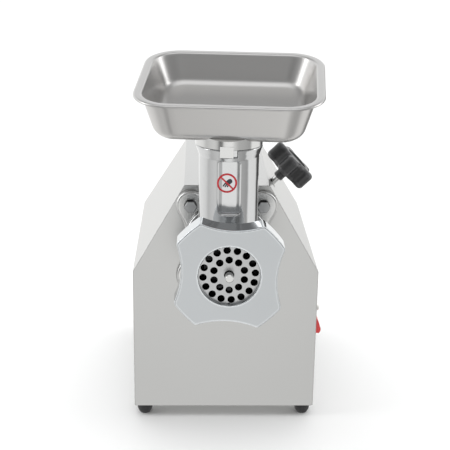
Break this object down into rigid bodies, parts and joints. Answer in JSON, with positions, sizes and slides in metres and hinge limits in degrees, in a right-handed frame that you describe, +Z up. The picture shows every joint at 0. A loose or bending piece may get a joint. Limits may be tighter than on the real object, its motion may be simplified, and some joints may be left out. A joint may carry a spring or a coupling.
{
  "type": "electric meat grinder",
  "caption": "Countertop electric meat grinder: folded stainless housing, pull-out cast grinding head with ring nut, feed tray on the throat and a clamp knob.",
  "frame": {"origin": "on the surface the grinder stands on, midway between the side walls, below the front panel's outer face", "axes": "+X to the right seen from the front, +Y from the front panel to the rear, +Z up"},
  "size_m": [0.2298, 0.4225, 0.4431],
  "materials": {
    "bare_iron": "cast iron",
    "black_nylon": "moulded nylon",
    "black_phenolic": "moulded phenolic",
    "black_rubber": "moulded rubber",
    "bronze": "sintered bronze",
    "cast_aluminium": "as-cast aluminium",
    "copper_winding": "varnished copper winding",
    "electrical_steel": "stacked laminations",
    "gasket_paper": "fibre gasket",
    "gear_steel": "oiled machined steel",
    "grey_seal": "nitrile rubber",
    "machined_steel": "machined steel",
    "painted_shell": "black painted steel",
    "plate_steel": "ground hardened steel",
    "polished_casting": "polished stainless casting",
    "red_plastic": "gloss red plastic",
    "satin_casting": "blasted stainless casting with polished edges",
    "screw_steel": "zinc-plated steel",
    "stainless_sheet": "satin stainless sheet",
    "stainless_tray": "pressed satin stainless",
    "white_plastic": "white plastic"
  },
  "bodies": {
    "frame": {"housing_wrap": "stainless_sheet", "front_panel": "stainless_sheet", "rear_cover": "stainless_sheet", "base_plate": "screw_steel", "rubber_feet": "black_rubber", "foot_screws": "screw_steel", "foot_nuts": "screw_steel", "side_screws": "screw_steel", "mounting_flange": "polished_casting", "flange_washers": "screw_steel", "flange_bolts": "screw_steel", "gearbox_case": "bare_iron", "gearbox_gasket": "gasket_paper", "gearbox_cover": "cast_aluminium", "gearbox_cover_screws": "screw_steel", "bearing_outer_races": "machined_steel", "bearing_balls": "machined_steel", "idler_bushes": "bronze", "output_oil_seal": "grey_seal", "stator_core": "electrical_steel", "stator_windings": "copper_winding", "motor_shell": "painted_shell", "motor_end_bell": "cast_aluminium", "motor_tie_bolts": "screw_steel", "motor_cradle": "screw_steel", "capacitor": "white_plastic", "capacitor_clip": "screw_steel", "terminal_block": "white_plastic", "power_switch": "black_nylon", "reset_breaker": "black_nylon", "gland_body": "black_nylon", "gland_locknut": "black_nylon", "gland_seal": "grey_seal", "gland_cap": "black_nylon"},
    "head": {"grinder_head": "polished_casting", "head_bush": "bronze", "thrust_washer": "white_plastic", "plate_key_pin": "machined_steel"},
    "tray": {"tray_pan": "stainless_tray", "tray_neck": "stainless_tray"},
    "auger": {"auger": "polished_casting", "auger_stud": "machined_steel", "cutter_knife": "plate_steel"},
    "plate": {"grinder_plate": "plate_steel"},
    "ring_nut": {"ring_nut": "satin_casting"},
    "clamp_pad": {"clamp_pad": "machined_steel"},
    "clamp_screw": {"clamp_screw": "screw_steel", "star_knob": "black_phenolic"},
    "output": {"output_shaft": "machined_steel", "output_gear": "gear_steel", "output_gear_key": "machined_steel", "output_bearing_inner_races": "machined_steel"},
    "idler": {"idler_shaft": "machined_steel", "idler_gear": "gear_steel"},
    "rotor": {"rotor_shaft": "machined_steel", "rotor_core": "electrical_steel", "rotor_bearing_inner_races": "machined_steel", "cooling_fan": "black_nylon"},
    "rocker": {"switch_rocker": "red_plastic"},
    "reset": {"reset_button": "white_plastic"}
  },
  "joints": [
    {"name": "head_slide", "type": "slide", "parent": "frame", "child": "head", "axis": [0, -1, 0], "range_m": [0, 0.08]},
    {"name": "tray_lift", "type": "slide", "parent": "head", "child": "tray", "axis": [0, 0, 1], "range_m": [0, 0.12]},
    {"name": "output_spin", "type": "hinge", "parent": "frame", "child": "output", "pos_m": [0, 0, 0.232], "axis": [0, 1, 0], "continuous": true},
    {"name": "idler_spin", "type": "hinge", "parent": "frame", "child": "idler", "pos_m": [0, 0, 0.167], "axis": [0, 1, 0], "continuous": true},
    {"name": "rotor_spin", "type": "hinge", "parent": "frame", "child": "rotor", "pos_m": [0, 0, 0.11375], "axis": [0, 1, 0], "continuous": true},
    {"name": "auger_spin", "type": "hinge", "parent": "head", "child": "auger", "pos_m": [0, 0, 0.232], "axis": [0, 1, 0], "continuous": true},
    {"name": "plate_slide", "type": "slide", "parent": "head", "child": "plate", "axis": [0, -1, 0], "range_m": [0, 0.0142]},
    {"name": "nut_turn", "type": "hinge", "parent": "plate", "child": "ring_nut", "pos_m": [0, 0, 0.232], "axis": [0, -1, 0], "range_deg": [0, 1260]},
    {"name": "clamp_slide", "type": "slide", "parent": "frame", "child": "clamp_pad", "axis": [0.7133, 0, 0.7009], "range_m": [0, 0.0151]},
    {"name": "clamp_turn", "type": "hinge", "parent": "clamp_pad", "child": "clamp_screw", "pos_m": [0, 0.056, 0.232], "axis": [0.7133, 0, 0.7009], "range_deg": [0, 4320]},
    {"name": "rocker_tilt", "type": "hinge", "parent": "frame", "child": "rocker", "pos_m": [0.108, 0.025, 0.1157], "axis": [0, 1, 0], "range_deg": [0, 20]},
    {"name": "reset_press", "type": "slide", "parent": "frame", "child": "reset", "axis": [-1, 0, 0], "range_m": [0, 0.002], "stiffness_N_per_m": 400, "springref_m": -0.0005}
  ],
  "couplings": [
    {"joint": "idler_spin", "follows": "output_spin", "ratio": -2.0588},
    {"joint": "rotor_spin", "follows": "output_spin", "ratio": 6.5398},
    {"joint": "auger_spin", "follows": "output_spin", "ratio": 1},
    {"joint": "plate_slide", "follows": "nut_turn", "m_per_rad": 0.00063662},
    {"joint": "clamp_slide", "follows": "clamp_turn", "m_per_rad": 0.00019894}
  ]
}
